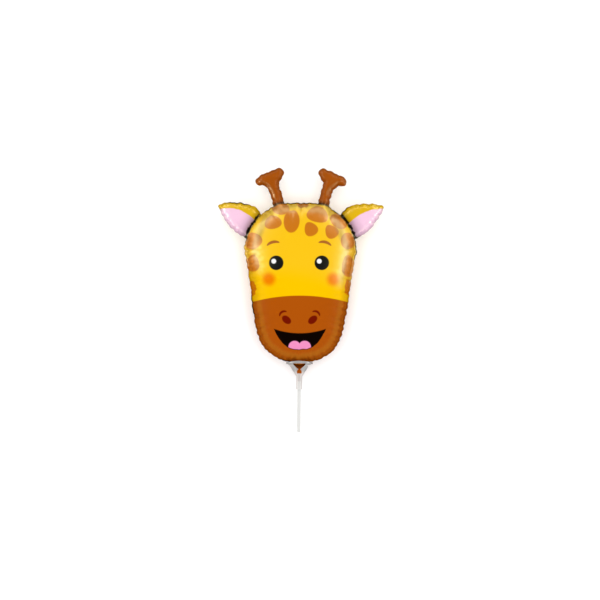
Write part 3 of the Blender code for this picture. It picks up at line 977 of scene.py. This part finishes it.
def face(art, colour):
    """Eyes, brows, cheeks, nostrils, mouth and tongue."""
    for centre in CHEEKS:
        colour = art.lay(colour, CHEEK, art.fade(art.blob(centre, CHEEK_SIZE), *CHEEK_FADE))
    brows = art.highest([art.arc(*brow, BROW_HALF) for brow in BROWS])
    colour = art.lay(colour, BROW, art.mask(brows))
    colour = art.lay(colour, EYE, art.mask(art.blobs(EYES, EYE_SIZE)))
    glints = np.array(EYES) + EYE_GLINT_SHIFT
    colour = art.lay(colour, EYE_LIGHT, art.mask(art.blobs(glints, EYE_GLINT_SIZE)))
    nostrils = [art.blob(centre, NOSTRIL_SIZE, turn) for centre, turn in NOSTRILS]
    nostrils += [art.arc(*arc, NOSTRIL_ARC_HALF) for arc in NOSTRIL_ARCS]
    colour = art.lay(colour, NOSTRIL, art.mask(art.highest(nostrils)))

    across = art.math("DIVIDE", art.off(art.x, MOUTH_TOP[0]), MOUTH_HALF)
    curve = art.math("POWER", across, MOUTH_POWER)
    bottom = art.line(curve, -MOUTH_BOTTOM[1], MOUTH_BOTTOM[0])
    over_bottom = art.minus(bottom, art.y)
    mouth = art.math("MINIMUM", art.below(*MOUTH_TOP), over_bottom)
    colour = art.lay(colour, MOUTH, art.mask(mouth))
    lobes = art.blobs(TONGUE_LOBES, TONGUE_SIZE)
    tongue = art.math("MINIMUM", lobes, art.minus(over_bottom, TONGUE_GAP))
    return art.lay(colour, TONGUE, art.mask(tongue))


def limbs(art, colour, front):
    """Horns and ears over the ground, with painted shade and dark lines at their roots."""
    beyond = art.mask(art.limb)
    colour = art.lay(colour, HORN, beyond)
    # Painted shade: the horns darken at their feet
    foot = art.times(beyond, art.where(*HORN_BASE_SHADE))
    colour = art.lay(colour, BLACK_SHADE_AND_LINE, foot, HORN_BASE_SHADE_SHARE)
    ear = art.times(beyond, art.where(*EAR_PLACE))
    colour = art.lay(colour, EAR_OUTER, ear)
    if front:
        left, right = (art.times(art.mask(art.below(*line)), art.where(side))
                       for line, side in ((LEFT_EAR_LINE, EAR_LEFT), (RIGHT_EAR_LINE, EAR_RIGHT)))
        inner = art.times(ear, art.math("MAXIMUM", left, right))
        colour = art.lay(colour, EAR_INNER, inner)
        # Painted shade on the ear's pink, darker toward its root
        inner = art.times(inner, art.where(EAR_INNER_SHADE))
        colour = art.lay(colour, EAR_SHADE, inner, EAR_SHADE_SHARE)
    # Painted shade: darker where the ears meet the head
    roots = art.where(*EAR_ROOTS)
    colour = art.lay(colour, DARK_SHADE, art.times(art.where(*ROOT_SHADE), roots), ROOT_SHADE_SHARE)
    # Black along the ears' creases: a printed line and painted shade in the crease
    noise = art.add("TexNoise", art.place, None, *CREASE_NOISE)
    ragged = art.line(noise, *CREASE_RAGGED)
    crease = art.math("ADD", art.off(art.limb, CREASE_MIDDLE), ragged)
    colour = art.lay(colour, BLACK_SHADE_AND_LINE, art.times(art.fade(crease, *CREASE_LINE), roots))
    # Painted shade: a thin dark line where the horns pinch into the head
    line = art.fade(art.math("ABSOLUTE", art.limb), *HORN_ROOT_SHADE)
    line = art.times(line, art.where(*HORN_ROOT_SHADE_PLACE))
    return art.lay(colour, BLACK_SHADE_AND_LINE, line, HORN_ROOT_SHADE_SHARE)


def seam_shade(art, colour):
    """Painted shade along the seam, with dark stretches that are part painted shade and part the film's dark
    edge.
    """
    # Painted shade: darker toward the seam
    colour = art.lay(colour, DARK_SHADE, art.where(SEAM_SHADE_IN), SEAM_SHADE_SHARE)
    patches = art.fade(art.highest([art.blob(*each) for each in SEAM_LINES]), *SEAM_PATCH)
    return art.lay(colour, BLACK_SHADE_AND_LINE, art.times(art.where(SEAM_LINE), patches), SEAM_LINE_SHARE)


def shine_shade(art, colour, lower):
    """Painted sheen: lighter colour where the crown shines; painted shade: darker colour under the highlights
    at the sides.
    """
    crown = art.where(CROWN)
    band = art.where(*SHEEN_BAND)
    shown = art.math("MAXIMUM", art.spot, art.where(GROUND_SHEEN_END))
    sheen = art.times(band, crown, shown, SHEEN_SHARE)
    colour = art.paint(colour, art.lay(ink(GROUND_SHEEN), SHEEN, art.spot), sheen)
    # Painted shade under the highlights at the sides
    glint_shade = art.times(band, art.where(GLINT_SHADE_START), art.minus(1.0, lower), art.minus(1.0, crown))
    return art.paint(colour, (0, 0, 0, 1), art.times(glint_shade, GLINT_SHADE_SHARE))


def new_material(name):
    """A material, its nodes and its shader's inputs."""
    material = bpy.data.materials.new(name)
    material.use_nodes = True
    return material, Nodes(material.node_tree), material.node_tree.nodes["Principled BSDF"].inputs


def film_material(name, blob, arc, spots, front):
    """Glossy printed foil, with the face only on the front."""
    material, nodes, shader = new_material(name)
    art = Print(nodes.tree, blob, arc)
    colour = ground(art, spots)
    if front:
        colour = face(art, colour)
    colour = seam_shade(art, limbs(art, colour, front))
    slant = art.line(art.minus(art.x, MIDDLE_X), -GLOSS_SLANT, art.y)
    lower = art.fade(slant, *GLOSS_END)
    art.feed(shader["Base Color"], shine_shade(art, colour, lower))
    art.feed(shader["Roughness"], FILM_ROUGHNESS)

    gloss = art.add("MapRange", lower, 0.0, 1.0, *FILM_GLOSS)
    gloss = art.times(gloss, art.add("MapRange", art.depth, *WELD_GLOSS))
    horn = art.times(art.mask(art.limb), art.where(*HORN_PLACE))
    streak = art.highest([art.arc(*each, HORN_STREAK_HALF) for each in HORN_STREAKS])
    polish = art.add("MapRange", art.mask(streak, HORN_STREAK_SOFT), 0.0, 1.0, *HORN_GLOSS)
    polish = art.line(horn, art.minus(polish, 1.0), 1.0)
    art.feed(shader["Specular IOR Level"], FILM_GLOSS[0])
    art.feed(shader["Specular IOR Level"], art.times(gloss, polish))
    art.feed(shader["Specular Tint"], art.paint(UPPER_GLINT, MUZZLE_GLINT, lower))

    lanes = art.add("CombineXYZ", art.times(art.along, STREAKS_PER_MM),
                    art.times(art.depth, STREAKS_PER_MM / STREAK_STRETCH), 0.0)
    streaks = art.add("TexNoise", lanes, None, *STREAK_NOISE)
    streaks = art.times(streaks, art.where(STREAK_REACH))
    ripple = art.add("TexNoise", art.place, None, *RIPPLE_NOISE)
    bump = art.tree.nodes.new("ShaderNodeBump")
    art.feed(bump.inputs["Distance"], STREAK_RELIEF)
    art.feed(bump.inputs["Height"], art.line(ripple, RIPPLE_SHARE, streaks))
    art.feed(shader["Normal"], bump.outputs[0])
    return material


def cup_shade(nodes, where, tint):
    """Painted shade at the lip and down the funnel's middle, and painted light where the tube shows in the
    collar.
    """
    x, y, _ = nodes.split(where)
    off_middle = nodes.math("ABSOLUTE", x)
    lip, funnel = (nodes.fade(y, *(CHIN_Y + place for place in span)) for span in (LIP_SHADE, FUNNEL_SHADE))
    middle = nodes.fade(off_middle, *MIDDLE_SHADE)
    # Painted shade at the lip and down the funnel's middle
    seen_shade = nodes.math("MAXIMUM", lip, nodes.times(middle, funnel))
    tint = nodes.paint(tint, ink(CUP_PAINTED_SHADE), seen_shade)
    # Painted light where the tube shows through the collar
    collar = nodes.fade(y, *(CHIN_Y + STICK_TOP_Y + place for place in TUBE_TOP))
    return nodes.paint(tint, ink(TUBE_SHOWN_LIGHT), nodes.times(nodes.fade(off_middle, *TUBE_SIDE), collar))


def plastic(name, colour, roughness, transmission=0.0, shade=None):
    """A moulded plastic with a faint mottle and, where given, its own shading."""
    material, nodes, shader = new_material(name)
    where = nodes.add("TexCoord", output=3)
    mottle = nodes.add("TexNoise", where, None, *MOTTLE_NOISE)
    darker = tuple(MOTTLE_DARKER * share for share in ink(colour)[:3]) + (1,)
    tint = nodes.paint(darker, ink(colour), mottle)
    if shade:
        tint = shade(nodes, where, tint)
    rough = nodes.line(mottle, MOTTLE_ROUGHNESS, roughness - MOTTLE_ROUGHNESS / 2)
    for socket, value in (("Base Color", tint), ("Roughness", rough), ("Transmission Weight", transmission),
                          ("IOR", PLASTIC_IOR), ("Specular IOR Level", PLASTIC_GLOSS)):
        nodes.feed(shader[socket], value)
    return material


def turned(name, section):
    """A closed (radius, height) section turned about the object's long axis."""
    shape = bmesh.new()
    rings = []
    for radius, height in section:
        share = max(0.0, (height - SHOULDER_Y) / (CUP_RIM_Y - SHOULDER_Y))
        ring = []
        for angle in (2 * math.pi * step / TURN_STEPS for step in range(TURN_STEPS)):
            lift = CUP_SADDLE * share * math.sin(angle) ** 2
            ring.append(shape.verts.new((radius * math.cos(angle), height + lift, radius * math.sin(angle))))
        rings.append(ring)
    for ring, other in zip(rings, rings[1:] + rings[:1]):
        for step in range(TURN_STEPS):
            after = (step + 1) % TURN_STEPS
            shape.faces.new((ring[step], ring[after], other[after], other[step]))
    bmesh.ops.translate(shape, verts=shape.verts, vec=(0, CHIN_Y, MIDDLE_Z))
    bmesh.ops.recalc_face_normals(shape, faces=shape.faces)
    mesh = mesh_of(shape, name)
    mesh.shade_smooth()
    mesh.set_sharp_from_angle(angle=SHARP_ANGLE)
    return add_object(name, mesh)


def cup_section():
    """Section of funnel and collar, down the outside and up the inside, with a rounded lip."""
    lip_end = CUP_RIM_Y - LIP_HEIGHT
    cut = LIP_CUT * LIP_ROUND
    under = float(cup_radius(lip_end))
    bore_top = STICK_TOP_Y + STOP_GAP
    shoulder = [(SHOULDER_RADIUS + out, SHOULDER_Y + up) for out, up in SHOULDER_ROUND]
    foot = [(COLLAR_RADIUS + out, FOOT_Y + up) for out, up in FOOT_ROUND]
    return [(CUP_RADIUS - LIP_ROUND, CUP_RIM_Y), (CUP_RADIUS - cut, CUP_RIM_Y - cut),
            (CUP_RADIUS, CUP_RIM_Y - LIP_ROUND), (CUP_RADIUS, lip_end + 2 * cut),
            (CUP_RADIUS - LIP_ROUND, lip_end), (under, lip_end - cut), *shoulder, *foot,
            (COLLAR_RADIUS, COLLAR_END_Y + COLLAR_EDGE), (COLLAR_RADIUS - COLLAR_EDGE, COLLAR_END_Y),
            (COLLAR_BORE + BORE_EDGE, COLLAR_END_Y), (COLLAR_BORE, COLLAR_END_Y + BORE_EDGE),
            (COLLAR_BORE, bore_top), (STOP_BORE, bore_top), (STOP_BORE, FOOT_Y),
            (SHOULDER_RADIUS - CUP_WALL, SHOULDER_Y), (under - CUP_WALL, lip_end),
            (CUP_RADIUS - LIP_WALL, CUP_RIM_Y - LIP_ROUND), (CUP_RADIUS - LIP_WALL + cut, CUP_RIM_Y)]


def window_cutter():
    """A prism through front and back with the outline of the cup's window and slot."""
    right = [(WINDOW_HALF - WINDOW_CORNER, WINDOW_TOP_Y), (WINDOW_HALF, WINDOW_TOP_Y - WINDOW_CORNER),
             (SLOT_HALF, TAIL_NECK_Y + SLOT_HALF / 2), (SLOT_HALF, SLOT_END_Y)]
    window = right + [(-x, y) for x, y in right[::-1]]
    shape = bmesh.new()
    flat = shape.faces.new([shape.verts.new((x, CHIN_Y + y, MIDDLE_Z - 2 * CUP_RADIUS)) for x, y in window])
    swept = bmesh.ops.extrude_face_region(shape, geom=[flat])["geom"]
    sides = [item for item in swept if isinstance(item, bmesh.types.BMVert)]
    bmesh.ops.translate(shape, verts=sides, vec=(0, 0, 4 * CUP_RADIUS))
    bmesh.ops.recalc_face_normals(shape, faces=shape.faces)
    return add_object("window_cutter", mesh_of(shape, "window_cutter"))


def make_cup():
    """Funnel with its windows and slots cut through front and back."""
    cup = turned("cup_funnel", cup_section())
    cutter = window_cutter()
    cut = cup.modifiers.new("windows", "BOOLEAN")
    cut.object = cutter
    cut.operation = "DIFFERENCE"
    bpy.context.view_layer.update()
    shape = bmesh.new()
    shape.from_object(cup, bpy.context.evaluated_depsgraph_get())
    bmesh.ops.triangulate(shape, faces=shape.faces)
    bmesh.ops.dissolve_degenerate(shape, dist=SLIVER, edges=shape.edges)
    cup.modifiers.clear()
    shape.to_mesh(cup.data)
    shape.free()
    bpy.data.objects.remove(cutter)
    return cup


def make_stick():
    """The tube, with its ends' edges eased."""
    end, top = STICK_END_Y, STICK_TOP_Y
    return turned("stick_tube", [
        (STICK_RADIUS - STICK_EDGE, top), (STICK_RADIUS, top - STICK_EDGE), (STICK_RADIUS, end + STICK_EDGE),
        (STICK_RADIUS - STICK_EDGE, end), (STICK_BORE + STICK_EDGE / 2, end), (STICK_BORE, end + STICK_EDGE),
        (STICK_BORE, top - STICK_EDGE), (STICK_BORE + STICK_EDGE / 2, top)])


def soft_box(name, place, size, power, glints):
    """A rectangular studio light that looks at the object; it either lights surfaces or shows in them."""
    light = bpy.data.lights.new(name, "AREA")
    light.shape = "RECTANGLE"
    light.size, light.size_y = size
    light.energy = power
    item = add_object(name, light)
    item.location = place
    item.rotation_euler = (Vector(AIM) - Vector(place)).to_track_quat("-Z", "Y").to_euler()
    item.visible_glossy = glints
    item.visible_diffuse = not glints


def studio():
    """Floor, world, lights and the camera straight above."""
    mesh = bpy.data.meshes.new("floor")
    corners = [(x * FLOOR_REACH, y * FLOOR_REACH, 0) for x, y in ((-1, -1), (1, -1), (1, 1), (-1, 1))]
    mesh.from_pydata(corners, [], [(0, 1, 2, 3)])
    pale, nodes, shader = new_material("pale_floor")
    nodes.feed(shader["Base Color"], FLOOR_COLOUR)
    nodes.feed(shader["Roughness"], FLOOR_ROUGHNESS)
    mesh.materials.append(pale)
    floor = add_object("floor", mesh)
    floor.visible_glossy = False

    scene = bpy.context.scene
    world = bpy.data.worlds.new("studio")
    world.use_nodes = True
    for socket, value in zip(world.node_tree.nodes["Background"].inputs, ((1, 1, 1, 1), WORLD_LIGHT)):
        socket.default_value = value
    scene.world = world
    world.cycles_visibility.glossy = False
    soft_box("key_box", KEY_PLACE, KEY_SIZE, KEY_POWER, False)
    for count, (rise, power) in enumerate(HALO):
        turn = math.radians(HALO_PITCH * count)
        away = Vector((math.cos(turn), math.sin(turn), math.tan(math.radians(rise))))
        soft_box(f"halo_box_{HALO_PITCH * count}", Vector(AIM) + HALO_REACH * away, HALO_SIZE, power, True)

    lens = bpy.data.cameras.new("camera")
    lens.sensor_width = SENSOR_WIDTH
    lens.lens = SENSOR_WIDTH * CAMERA_HEIGHT / (PHOTO_PIXELS * PIXEL)
    camera = add_object("camera", lens)
    camera.location = (0, 0, MIDDLE_Z + CAMERA_HEIGHT)
    camera.rotation_euler = (0, 0, CAMERA_ROLL)
    scene.camera = camera
    scene.view_settings.view_transform = "Standard"


def main():
    """Build the pieces, their looks and the studio."""
    film = make_film()
    cup = make_cup()
    stick = make_stick()
    blob, arc = blob_group(), arc_group()
    film.data.materials.append(film_material("printed_front", blob, arc, SPOTS, True))
    film.data.materials.append(film_material("printed_back", blob, arc, BACK_SPOTS, False))
    cup.data.materials.append(plastic("frosted_plastic", *CUP_PLASTIC, cup_shade))
    stick.data.materials.append(plastic("white_plastic", *STICK_PLASTIC))
    for piece, node, slot in ((film, "foil_balloon", "printed_foil"), (cup, "balloon_cup", "cup_plastic"),
                              (stick, "stick", "stick_plastic")):
        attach(piece, "root")
        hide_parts(node)
    studio()
    bpy.context.view_layer.update()


main()
